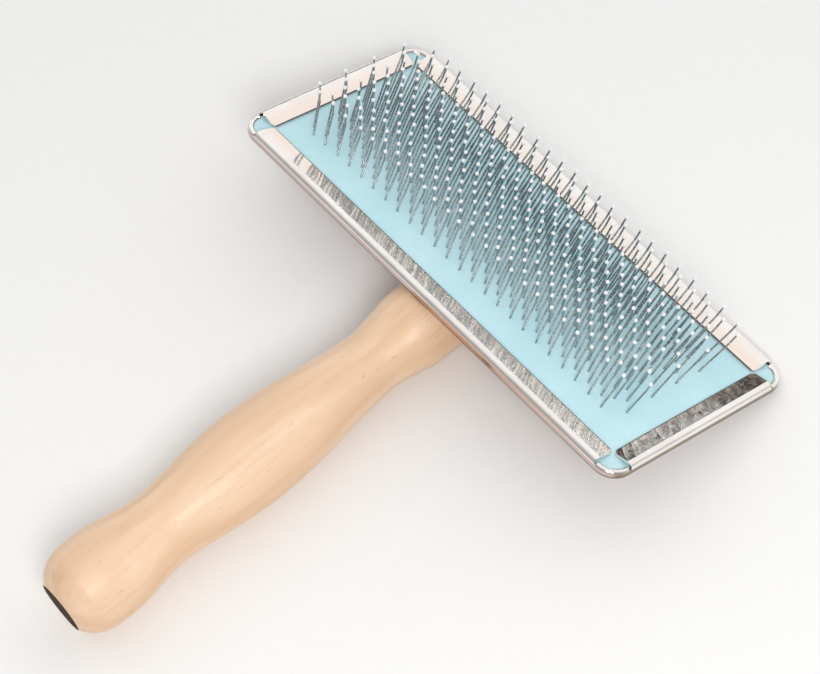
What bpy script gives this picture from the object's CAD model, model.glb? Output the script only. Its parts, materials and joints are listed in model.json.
import json
import math

import bmesh
import bpy
from mathutils import Matrix, Vector


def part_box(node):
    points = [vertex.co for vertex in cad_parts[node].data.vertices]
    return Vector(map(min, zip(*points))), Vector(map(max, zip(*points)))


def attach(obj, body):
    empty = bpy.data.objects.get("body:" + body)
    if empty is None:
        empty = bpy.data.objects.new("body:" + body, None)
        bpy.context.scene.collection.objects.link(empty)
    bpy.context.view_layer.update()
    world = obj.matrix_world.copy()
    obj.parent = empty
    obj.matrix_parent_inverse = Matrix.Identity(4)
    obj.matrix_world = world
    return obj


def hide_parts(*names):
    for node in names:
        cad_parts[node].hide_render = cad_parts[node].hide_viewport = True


MM = 0.001

# ---- The camera, in degrees and metres ----
CAMERA_TARGET = (0.00887, 0.01596, 0.02445)
CAMERA_AZIMUTH = -26.72         # of the camera from the target, from +X towards +Y
CAMERA_ELEVATION = 59.62
CAMERA_ROLL = -15.41
CAMERA_DISTANCE = 0.596
CAMERA_LENS = 127.9

# ---- The studio: directions in which its surroundings are bright, and dark ----
BRIGHT_SIDE = (-0.45, 0.75, 0.48)
DARK_SPOT = (-0.72, 0.66, 0.21)

# ---- The handle, in millimetres except where named otherwise ----
HANDLE_SIDES = 128
RING_POINTS = 6                 # a ring of the CAD shape has more points than this
RING_STEP = 0.7                 # rings closer together than this are one
CUT_MARGIN = 0.00002            # in metres, keeps points on the slanted cut out

# ---- The cushion, in millimetres, in the head's own frame (z = 0 at the rim's inner edge) ----
HEAD_DEPTH = 2.4                # of the back's outer face below the rim's inner edge
RIM_W = 5.5
CROWN = 3.6
PLY_GAP = 0.35
SHEET = 0.5
CLOTH_T = 0.5
FELT_EDGE_T = 0.4
RUBBER_EDGE_T = 0.45
RUBBER_TOP_T = 0.8
PLY_CORNER_R = 4.15
CLOTH_GAP = 0.05                # between the pan and the cloth
PUCKER_H = 0.10                 # the small collar of rubber that each wire pushes up
PUCKER_R = 0.55


# ---- Small helpers ----

def mesh_object(name, verts, faces, smooth=True):
    mesh = bpy.data.meshes.new(name)
    mesh.from_pydata([tuple(v) for v in verts], [], faces)
    mesh.validate()
    mesh.update()
    if smooth:
        mesh.shade_smooth()
    obj = bpy.data.objects.new(name, mesh)
    bpy.context.scene.collection.objects.link(obj)
    return obj


def give(obj, *materials):
    obj.data.materials.clear()
    for material in materials:
        obj.data.materials.append(material)


class Nodes:
    """A short way to write a node material."""

    def __init__(self, name, **principled):
        self.material = bpy.data.materials.new(name)
        self.material.use_nodes = True
        self.tree = self.material.node_tree
        self.shader = self.tree.nodes["Principled BSDF"]
        for socket, value in principled.items():
            self.shader.inputs[socket.replace("_", " ")].default_value = value

    def add(self, kind, inputs=None, **settings):
        node = self.tree.nodes.new(kind)
        for key, value in settings.items():
            setattr(node, key, value)
        for key, value in (inputs or {}).items():
            if isinstance(value, bpy.types.NodeSocket):
                self.tree.links.new(value, node.inputs[key])
            else:
                node.inputs[key].default_value = value
        return node

    def place(self, scale=(1, 1, 1), location=(0, 0, 0)):
        """Object coordinates, in metres, scaled: 1 / scale is the size of a feature."""
        coordinates = self.add("ShaderNodeTexCoord")
        mapping = self.add(
            "ShaderNodeMapping",
            {"Vector": coordinates.outputs["Object"], "Scale": scale, "Location": location},
        )
        return mapping.outputs["Vector"]

    def noise(self, scale, detail=3.0, rough=0.55, location=(0, 0, 0)):
        return self.add(
            "ShaderNodeTexNoise",
            {"Vector": self.place(scale, location), "Scale": 1.0, "Detail": detail, "Roughness": rough},
        ).outputs["Fac"]

    def ramp(self, factor, *stops):
        node = self.add("ShaderNodeValToRGB", {"Fac": factor})
        elements = node.color_ramp.elements
        while len(elements) < len(stops):
            elements.new(0.5)
        for element, (position, color) in zip(elements, stops):
            element.position = position
            element.color = (*color, 1.0)
        return node.outputs["Color"]

    def remap(self, factor, low, high, to_low=0.0, to_high=1.0):
        return self.add(
            "ShaderNodeMapRange",
            {"Value": factor, "From Min": low, "From Max": high, "To Min": to_low, "To Max": to_high},
        ).outputs["Result"]

    def mix(self, factor, a, b, blend="MIX"):
        node = self.add("ShaderNodeMix", data_type="RGBA", blend_type=blend)
        for socket, value in ((node.inputs[0], factor), (node.inputs[6], a), (node.inputs[7], b)):
            if isinstance(value, bpy.types.NodeSocket):
                self.tree.links.new(value, socket)
            else:
                socket.default_value = value if isinstance(value, float) else (*value, 1.0)
        return node.outputs[2]

    def math(self, operation, a, b=0.0):
        return self.add("ShaderNodeMath", {0: a, 1: b}, operation=operation).outputs[0]

    def drive(self, socket, value):
        self.tree.links.new(value, self.shader.inputs[socket])

    def bump(self, height, distance, strength=1.0):
        node = self.add("ShaderNodeBump", {"Height": height, "Distance": distance, "Strength": strength})
        self.drive("Normal", node.outputs["Normal"])


# ---- Where things are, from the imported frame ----

def shell_points(node):
    return [v.co.copy() for v in frame["nodes"][node].data.vertices]


def head_frame():
    """The head's own frame: origin in the middle of the rim's inner edges, +Z along the pins."""
    cloth = frame["nodes"]["foundation_cloth"].data
    top = max(cloth.polygons, key=lambda p: (p.normal.z > 0.5) * p.area)
    up = top.normal.normalized()
    along = Vector((1, 0, 0))
    away = up.cross(along).normalized()
    low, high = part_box("foundation_cloth")
    middle = (Vector(low) + Vector(high)) / 2
    pan = [v.dot(up) for v in shell_points("head_pan")]
    back = min(pan)
    origin = middle + up * (back + HEAD_DEPTH * MM - middle.dot(up))
    return Matrix((
        (along.x, away.x, up.x, origin.x),
        (along.y, away.y, up.y, origin.y),
        (along.z, away.z, up.z, origin.z),
        (0, 0, 0, 1),
    ))


def head_points(node):
    to_head = head.inverted()
    return [to_head @ p / MM for p in shell_points(node)]


def islands(node):
    """The separate solids of a node, each as a list of its points in the head's frame, in mm."""
    mesh = bmesh.new()
    mesh.from_mesh(frame["nodes"][node].data)
    bmesh.ops.remove_doubles(mesh, verts=mesh.verts, dist=1e-6)
    to_head = head.inverted()
    seen = set()
    found = []
    for start in mesh.verts:
        if start in seen:
            continue
        seen.add(start)
        stack, group = [start], []
        while stack:
            v = stack.pop()
            group.append(to_head @ v.co / MM)
            for e in v.link_edges:
                other = e.other_vert(v)
                if other not in seen:
                    seen.add(other)
                    stack.append(other)
        found.append(group)
    mesh.free()
    return found


def mean(points):
    return sum(points, Vector()) / len(points)


# ---- Wood ----

def wood():
    n = Nodes("turned_wood", Roughness=0.42, Coat_Weight=0.15, Coat_Roughness=0.35)
    broad = n.noise((130, 9, 130), 3.0)
    streak = n.noise((700, 16, 700), 4.0, 0.6, (0.3, 0, 0.1))
    fleck = n.noise((2600, 330, 2600), 2.0, 0.5, (1.7, 0, 0.4))
    rings = n.add(
        "ShaderNodeTexWave",
        {"Vector": n.place((1, 0.16, 1), (0.031, 0, 0.024)), "Scale": 62.0, "Distortion": 5.5,
         "Detail": 3.0, "Detail Scale": 1.3, "Detail Roughness": 0.6},
        wave_type="RINGS", rings_direction="Y",
    ).outputs["Fac"]
    base = n.ramp(
        broad,
        (0.30, (0.760, 0.500, 0.310)), (0.50, (0.840, 0.590, 0.400)), (0.72, (0.900, 0.670, 0.485)),
    )
    base = n.mix(n.remap(rings, 0.25, 0.95, 0.0, 0.30), base, (0.720, 0.440, 0.245))
    base = n.mix(n.remap(streak, 0.50, 0.74, 0.0, 0.34), base, (0.690, 0.420, 0.240))
    base = n.mix(n.remap(fleck, 0.67, 0.75, 0.0, 0.35), base, (0.430, 0.235, 0.120))
    n.drive("Base Color", base)
    n.drive("Roughness", n.remap(streak, 0.3, 0.7, 0.33, 0.47))
    n.bump(n.math("ADD", streak, n.math("MULTIPLY", fleck, -0.8)), 0.00005, 0.5)
    return n.material


def end_grain():
    n = Nodes("stained_end", Roughness=0.75, Specular_IOR_Level=0.15)
    rings = n.add(
        "ShaderNodeTexWave",
        {"Vector": n.place((1, 1, 1), (0.031, 0, 0.024)), "Scale": 150.0,
         "Distortion": 3.0, "Detail": 3.0},
        wave_type="RINGS", rings_direction="Y",
    ).outputs["Fac"]
    pores = n.noise((2500, 2500, 2500), 2.0)
    base = n.ramp(rings, (0.0, (0.030, 0.009, 0.004)), (1.0, (0.075, 0.026, 0.012)))
    n.drive("Base Color", n.mix(n.remap(pores, 0.4, 0.7, 0.0, 0.6), base, (0.012, 0.004, 0.002)))
    n.bump(pores, 0.00006, 0.6)
    return n.material


# ---- Handle ----

def between(a, b, c, d, f):
    """Smooth value at share f of the way from b to c, between the two."""
    square = 2 * a - 5 * b + 4 * c - d
    cube = 3 * b - a - 3 * c + d
    value = 0.5 * (2 * b + (c - a) * f + square * f * f + cube * f ** 3)
    return min(max(b, c), max(min(b, c), value))


def smooth_curve(points, steps):
    """Points on a smooth curve through the given ones."""
    out = []
    for i in range(len(points) - 1):
        p0, p1 = points[max(i - 1, 0)], points[i]
        p2, p3 = points[i + 1], points[min(i + 2, len(points) - 1)]
        for s in range(steps):
            f = s / steps
            out.append(tuple(between(a, b, c, d, f) for a, b, c, d in zip(p0, p1, p2, p3)))
    out.append(points[-1])
    return out


def make_handle():
    """The turned shape, from the butt face along the handle's axis, cut off at the head's back."""
    mount = frame["record"]["mounts"][0]
    start = Vector(mount["pos_m"])
    axis = -Vector(mount["axis"]).normalized()
    side = Vector((1, 0, 0))
    third = axis.cross(side)
    # a ring of the turned shape: points under the slanted cut, at the same place along the axis
    back = min(p.z for p in head_points("head_pan")) * MM
    to_head = head.inverted()
    rings = {}
    for p in shell_points("handle"):
        if (to_head @ p).z > back - CUT_MARGIN:
            continue
        along = (p - start).dot(axis)
        radius = (p - start - axis * along).length
        key = round(along / MM, 1)
        rings.setdefault(key, []).append(radius / MM)
    profile = []
    for along, radii in sorted(rings.items()):
        if len(radii) > RING_POINTS and (not profile or along - profile[-1][0] > RING_STEP):
            profile.append((along, max(radii)))
    turned = smooth_curve(profile, 2)
    verts, faces = [], []
    for along, radius in turned:
        centre = start + axis * (along * MM)
        for s in range(HANDLE_SIDES):
            a = 2 * math.pi * s / HANDLE_SIDES
            verts.append(centre + (side * math.cos(a) + third * math.sin(a)) * (radius * MM))
    last = (len(turned) - 1) * HANDLE_SIDES
    for low in range(0, last, HANDLE_SIDES):
        high = low + HANDLE_SIDES
        for s in range(HANDLE_SIDES):
            t = (s + 1) % HANDLE_SIDES
            faces.append((low + s, low + t, high + t, high + s))
    faces.append(tuple(range(HANDLE_SIDES))[::-1])
    faces.append(tuple(range(last, last + HANDLE_SIDES)))

    obj = mesh_object("turned_handle", verts, faces)
    give(obj, wood(), end_grain())
    mesh = bmesh.new()
    mesh.from_mesh(obj.data)
    bmesh.ops.recalc_face_normals(mesh, faces=mesh.faces)
    up = head.to_3x3() @ Vector((0, 0, 1))
    cut = head @ Vector((0, 0, back))
    result = bmesh.ops.bisect_plane(
        mesh, geom=mesh.verts[:] + mesh.edges[:] + mesh.faces[:], dist=1e-7,
        plane_co=cut, plane_no=up, clear_outer=True,
    )
    edges = [e for e in result["geom_cut"] if isinstance(e, bmesh.types.BMEdge)]
    bmesh.ops.holes_fill(mesh, edges=edges)
    for face in mesh.faces:
        flat_butt = all(abs((v.co - start).dot(axis)) < 1e-6 for v in face.verts)
        flat_cut = all(abs((v.co - cut).dot(up)) < 1e-6 for v in face.verts)
        face.material_index = 1 if flat_butt else 0
        face.smooth = not (flat_butt or flat_cut)
    mesh.to_mesh(obj.data)
    mesh.free()
    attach(obj, "root")
    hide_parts("handle")


# ---- Cushion ----

def rounded(x, y, half_l, half_w):
    """Moves a point of a rectangle's grid so that the rectangle gets round corners."""
    r = PLY_CORNER_R
    dx, dy = abs(x) - (half_l - r), abs(y) - (half_w - r)
    if dx <= 0 or dy <= 0:
        return x, y
    scale = max(dx, dy) / math.hypot(dx, dy)
    return (
        math.copysign(half_l - r + dx * scale, x),
        math.copysign(half_w - r + dy * scale, y),
    )


def crown_height(x, y, edge, top):
    inner_l, inner_w = head_l / 2 - RIM_W, head_w / 2 - RIM_W
    across = max(0.0, 1 - (y / inner_w) ** 2)
    ends = max(0.0, 1 - abs(x / inner_l) ** 6)
    return edge + (top - edge) * across * ends


def ply(name, bottom, top, step):
    """A closed layer of the cushion between two heights, which are functions of the place."""
    half_l, half_w = head_l / 2 - SHEET - PLY_GAP, head_w / 2 - SHEET - PLY_GAP
    nx, ny = round(2 * half_l / step), round(2 * half_w / step)
    verts, faces = [], []
    for layer in (bottom, top):
        for i in range(nx + 1):
            for j in range(ny + 1):
                x, y = rounded(half_l * (2 * i / nx - 1), half_w * (2 * j / ny - 1), half_l, half_w)
                verts.append(head @ (Vector((x, y, layer(x, y))) * MM))
    count = (nx + 1) * (ny + 1)
    at = lambda i, j: i * (ny + 1) + j
    for i in range(nx):
        for j in range(ny):
            quad = (at(i, j), at(i + 1, j), at(i + 1, j + 1), at(i, j + 1))
            faces.append(quad[::-1])
            faces.append(tuple(count + q for q in quad))
    rim = [at(i, 0) for i in range(nx)] + [at(nx, j) for j in range(ny)]
    rim += [at(i, ny) for i in range(nx, 0, -1)] + [at(0, j) for j in range(ny, 0, -1)]
    for a, b in zip(rim, rim[1:] + rim[:1]):
        faces.append((a, b, count + b, count + a))
    return mesh_object(name, verts, faces)


def lower_legs():
    """Root and bend of every pin, in the head's frame."""
    legs = []
    for name in sorted(name for name in frame["nodes"] if name.startswith("pin_row_")):
        for group in islands(name):
            middle = mean(group).x
            for side in (-1, 1):
                leg = [p for p in group if (p.x - middle) * side > 0]
                if not leg:
                    continue
                top = max(p.z for p in leg)
                root = [p for p in leg if p.z < -1]
                knee = [p for p in leg if -1 <= p.z <= top - 0.4]
                if root and knee:
                    legs.append((mean(root), mean(knee)))
    return legs


def blue_rubber():
    n = Nodes("blue_rubber", Roughness=0.58, Specular_IOR_Level=0.4)
    cloud = n.noise((60, 60, 60), 3.0)
    grain = n.noise((2600, 2600, 2600), 2.0, 0.6)
    base = n.ramp(cloud, (0.35, (0.510, 0.775, 0.850)), (0.65, (0.580, 0.830, 0.890)))
    base = n.mix(n.remap(grain, 0.35, 0.70, 0.0, 0.35), base, (0.450, 0.720, 0.810))
    n.drive("Base Color", base)
    n.drive("Roughness", n.remap(grain, 0.3, 0.7, 0.50, 0.66))
    n.bump(grain, 0.00004, 0.5)
    return n.material


def woven_cloth():
    n = Nodes("woven_cloth", Roughness=0.9)
    weave = n.add(
        "ShaderNodeTexWave", {"Vector": n.place((1, 1, 1)), "Scale": 420.0, "Distortion": 0.6},
        bands_direction="X",
    ).outputs["Fac"]
    weft = n.add(
        "ShaderNodeTexWave", {"Vector": n.place((1, 1, 1)), "Scale": 420.0, "Distortion": 0.6},
        bands_direction="Y",
    ).outputs["Fac"]
    both = n.math("MAXIMUM", weave, weft)
    n.drive("Base Color", n.ramp(both, (0.2, (0.45, 0.42, 0.34)), (0.9, (0.74, 0.70, 0.60))))
    n.bump(both, 0.0001, 0.8)
    return n.material


def pressed_felt():
    n = Nodes("pressed_felt", Roughness=0.95)
    fibre = n.noise((1500, 1500, 400), 5.0, 0.7)
    n.drive("Base Color", n.ramp(fibre, (0.35, (0.17, 0.18, 0.20)), (0.7, (0.36, 0.37, 0.40))))
    n.bump(fibre, 0.0002, 0.8)
    return n.material


def make_cushion():
    """The three plies. The rubber has a small collar round every wire."""
    cell = 2.0
    near = {}
    for root, knee in lower_legs():
        out = root
        for _ in range(4):
            share = (crown_height(out.x, out.y, -SHEET, CROWN) - root.z) / (knee.z - root.z)
            out = root + (knee - root) * share
        near.setdefault((int(out.x // cell), int(out.y // cell)), []).append(out)

    def pucker(x, y):
        lift = 0.0
        i, j = int(x // cell), int(y // cell)
        for a in (i - 1, i, i + 1):
            for b in (j - 1, j, j + 1):
                for out in near.get((a, b), ()):
                    d = math.hypot(x - out.x, y - out.y) / PUCKER_R
                    if d < 2:
                        lift += PUCKER_H * math.exp(-(d - 0.45) ** 2 * 6)
        return lift

    cloth_z = -HEAD_DEPTH + SHEET + CLOTH_GAP
    felt_z = cloth_z + CLOTH_T
    felt_edge = felt_z + FELT_EDGE_T
    rubber_edge = felt_edge + RUBBER_EDGE_T
    felt_top = lambda x, y: crown_height(x, y, felt_edge, CROWN - RUBBER_TOP_T)
    rubber = ply("rubber_pad", felt_top,
                 lambda x, y: crown_height(x, y, rubber_edge, CROWN) + pucker(x, y), 0.3)
    felt = ply("felt_layer", lambda x, y: felt_z, felt_top, 1.0)
    cloth = ply("cloth_layer", lambda x, y: cloth_z, lambda x, y: felt_z, 2.0)
    for obj, node, slot, material, fill in (
        (rubber, "rubber_face", "blue_rubber", blue_rubber(), 0.9),
        (felt, "felt_cushion", "felt", pressed_felt(), 0.9),
        (cloth, "foundation_cloth", "woven_cloth", woven_cloth(), 1.0),
    ):
        give(obj, material)
        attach(obj, "root")
        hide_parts(node)


# ---- Metal and resin ----

def bright_plate():
    """Bright plate: rosy on the folded rim, dull on the side walls, dark on cut edges and bends."""
    n = Nodes("bright_plate", Metallic=1.0, Roughness=0.09)
    coordinates = n.add("ShaderNodeTexCoord").outputs["Object"]
    from_centre = n.add(
        "ShaderNodeVectorMath", {0: coordinates, 1: head.translation}, operation="SUBTRACT",
    ).outputs[0]

    def along(axis):
        """Metres along an axis of the head's frame."""
        return n.add(
            "ShaderNodeVectorMath", {0: from_centre, 1: head.to_3x3().col[axis]},
            operation="DOT_PRODUCT",
        ).outputs["Value"]

    from_end = n.math("SUBTRACT", n.math("ABSOLUTE", along(0)), (head_l / 2 - RIM_W) * MM)
    from_side = n.math("SUBTRACT", n.math("ABSOLUTE", along(1)), (head_w / 2 - RIM_W) * MM)
    outward = n.math("MAXIMUM", from_end, from_side)
    dent = n.noise((140, 140, 140), 2.0, 0.5)
    drawn = n.noise((1800, 1800, 1800), 3.0, 0.6)
    base = n.ramp(dent, (0.3, (0.880, 0.830, 0.800)), (0.7, (0.950, 0.915, 0.895)))
    base = n.mix(n.remap(outward, 0.0038, 0.0015, 0.0, 0.75), base, (0.930, 0.780, 0.690))
    base = n.mix(n.remap(outward, 0.00022, 0.00012, 0.0, 0.9), base, (0.060, 0.055, 0.055))
    height = along(2)
    wall = n.remap(height, -0.0001, -0.0005, 0.0, 0.85)
    base = n.mix(wall, base, (0.560, 0.430, 0.400))
    far_end = n.remap(along(0), (head_l / 2 - 1.5) * MM, (head_l / 2 - 0.8) * MM, 0.0, 1.0)
    base = n.mix(n.math("MULTIPLY", wall, far_end), base, (0.240, 0.215, 0.130))
    bend = n.math("MULTIPLY", n.remap(height, -0.0011, -0.0016), n.remap(height, -0.00238, -0.0022))
    base = n.mix(n.math("MULTIPLY", bend, 0.9), base, (0.075, 0.050, 0.045))
    n.drive("Base Color", base)
    n.drive("Roughness", n.remap(drawn, 0.35, 0.75, 0.05, 0.16))
    n.bump(n.math("ADD", dent, n.math("MULTIPLY", drawn, 0.02)), 0.0004, 0.35)
    return n.material


def pin_wire():
    n = Nodes("pin_wire", Metallic=1.0, Roughness=0.25)
    mark = n.noise((3000, 3000, 500), 2.0)
    n.drive("Base Color", n.ramp(mark, (0.3, (0.34, 0.38, 0.40)), (0.7, (0.48, 0.52, 0.53))))
    n.drive("Roughness", n.remap(mark, 0.3, 0.7, 0.18, 0.34))
    return n.material


def tip_resin():
    n = Nodes("tip_resin", Roughness=0.14, Coat_Weight=0.4)
    cloud = n.noise((700, 700, 700), 2.0)
    n.drive("Base Color", n.ramp(cloud, (0.3, (0.86, 0.86, 0.85)), (0.7, (0.95, 0.95, 0.95))))
    n.drive("Roughness", n.remap(cloud, 0.3, 0.7, 0.10, 0.22))
    return n.material


def screw_steel():
    n = Nodes("screw_steel", Metallic=1.0, Roughness=0.3)
    turned = n.noise((900, 900, 2500), 3.0)
    n.drive("Base Color", n.ramp(turned, (0.3, (0.48, 0.48, 0.50)), (0.7, (0.66, 0.66, 0.67))))
    n.drive("Roughness", n.remap(turned, 0.3, 0.7, 0.25, 0.42))
    return n.material


def dress_metal():
    give(frame["nodes"]["head_pan"], bright_plate())
    give(frame["nodes"]["pan_screws"], screw_steel())
    wire, resin = pin_wire(), tip_resin()
    for name, node in frame["nodes"].items():
        if name.startswith("pin_row_"):
            give(node, wire)
        if name.startswith("bead_row_"):
            give(node, resin)


# ---- Floor, light, camera ----

def make_floor():
    half = 1.5
    corners = [(-half, -half, 0), (half, -half, 0), (half, half, 0), (-half, half, 0)]
    floor = mesh_object("floor", corners, [(0, 1, 2, 3)], smooth=False)
    n = Nodes("floor_paper", Roughness=0.9)
    tooth = n.noise((300, 300, 300), 2.0)
    n.drive("Base Color", n.ramp(tooth, (0.3, (0.885, 0.885, 0.885)), (0.7, (0.895, 0.895, 0.895))))
    give(floor, n.material)


def area_light(name, place, aim, size, watts, color=(1, 1, 1)):
    data = bpy.data.lights.new(name, "AREA")
    data.shape = "RECTANGLE"
    data.size, data.size_y = size
    data.energy = watts
    data.color = color
    light = bpy.data.objects.new(name, data)
    light.location = place
    light.rotation_mode = "QUATERNION"
    light.rotation_quaternion = (Vector(aim) - Vector(place)).to_track_quat("-Z", "Y")
    bpy.context.scene.collection.objects.link(light)


def make_world():
    """A white studio, brightest on the side that the flat metal mirrors towards the camera."""
    world = bpy.data.worlds.new("studio")
    bpy.context.scene.world = world
    world.use_nodes = True
    tree = world.node_tree
    generated = tree.nodes.new("ShaderNodeTexCoord").outputs["Generated"]

    def facing(direction):
        node = tree.nodes.new("ShaderNodeVectorMath")
        node.operation = "DOT_PRODUCT"
        node.inputs[1].default_value = direction
        tree.links.new(generated, node.inputs[0])
        return node.outputs["Value"]

    def remap(value, low, high):
        node = tree.nodes.new("ShaderNodeMapRange")
        node.inputs["From Min"].default_value = low
        node.inputs["From Max"].default_value = high
        tree.links.new(value, node.inputs["Value"])
        return node.outputs["Result"]

    ramp = tree.nodes.new("ShaderNodeValToRGB")
    tree.links.new(facing(BRIGHT_SIDE), ramp.inputs["Fac"])
    stops = ((0.0, 0.42), (0.35, 0.72), (0.7, 1.0), (1.0, 1.0))
    elements = ramp.color_ramp.elements
    while len(elements) < len(stops):
        elements.new(0.5)
    for element, (position, level) in zip(elements, stops):
        element.position = position
        element.color = (level, level * 0.995, level * 0.985, 1.0)
    # a dark, broken patch low behind the brush, which its right-hand rim mirrors
    clutter = tree.nodes.new("ShaderNodeTexNoise")
    clutter.inputs["Scale"].default_value = 22.0
    clutter.inputs["Detail"].default_value = 3.0
    tree.links.new(generated, clutter.inputs["Vector"])
    both = tree.nodes.new("ShaderNodeMath")
    both.operation = "MULTIPLY"
    tree.links.new(remap(facing(DARK_SPOT), 0.965, 0.985), both.inputs[0])
    tree.links.new(remap(clutter.outputs["Fac"], 0.56, 0.48), both.inputs[1])
    blend = tree.nodes.new("ShaderNodeMix")
    blend.data_type = "RGBA"
    blend.inputs[7].default_value = (0.035, 0.03, 0.028, 1.0)
    tree.links.new(both.outputs[0], blend.inputs[0])
    tree.links.new(ramp.outputs["Color"], blend.inputs[6])
    background = tree.nodes["Background"]
    tree.links.new(blend.outputs[2], background.inputs["Color"])
    background.inputs["Strength"].default_value = 1.0


def make_camera():
    a, e = math.radians(CAMERA_AZIMUTH), math.radians(CAMERA_ELEVATION)
    back = Vector((math.cos(a) * math.cos(e), math.sin(a) * math.cos(e), math.sin(e)))
    level = Vector((0, 0, 1)).cross(back).normalized()
    upright = back.cross(level)
    r = math.radians(CAMERA_ROLL)
    right = level * math.cos(r) + upright * math.sin(r)
    up = back.cross(right)
    place = Vector(CAMERA_TARGET) + back * CAMERA_DISTANCE
    data = bpy.data.cameras.new("camera")
    data.lens = CAMERA_LENS
    data.sensor_width = 36
    data.clip_start, data.clip_end = 0.01, 10
    camera = bpy.data.objects.new("camera", data)
    camera.matrix_world = Matrix((
        (right.x, up.x, back.x, place.x),
        (right.y, up.y, back.y, place.y),
        (right.z, up.z, back.z, place.z),
        (0, 0, 0, 1),
    ))
    bpy.context.scene.collection.objects.link(camera)
    bpy.context.scene.camera = camera


# ---- Build ----

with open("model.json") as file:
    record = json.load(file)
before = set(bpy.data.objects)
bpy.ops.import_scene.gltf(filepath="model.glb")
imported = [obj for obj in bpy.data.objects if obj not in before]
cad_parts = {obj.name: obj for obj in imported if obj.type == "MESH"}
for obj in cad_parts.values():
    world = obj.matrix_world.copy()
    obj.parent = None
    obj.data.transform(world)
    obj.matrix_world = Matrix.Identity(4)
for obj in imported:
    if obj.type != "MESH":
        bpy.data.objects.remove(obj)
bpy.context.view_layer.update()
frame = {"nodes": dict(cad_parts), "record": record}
head = head_frame()
pan_points = head_points("head_pan")
head_l = max(p.x for p in pan_points) - min(p.x for p in pan_points)
head_w = max(p.y for p in pan_points) - min(p.y for p in pan_points)

make_handle()
make_cushion()
dress_metal()
make_floor()
make_world()
area_light("key", (0.41, -0.19, 0.52), (0, 0, 0), (0.26, 0.26), 2.2, (1.0, 0.99, 0.975))
make_camera()
bpy.context.scene.view_settings.view_transform = "Standard"
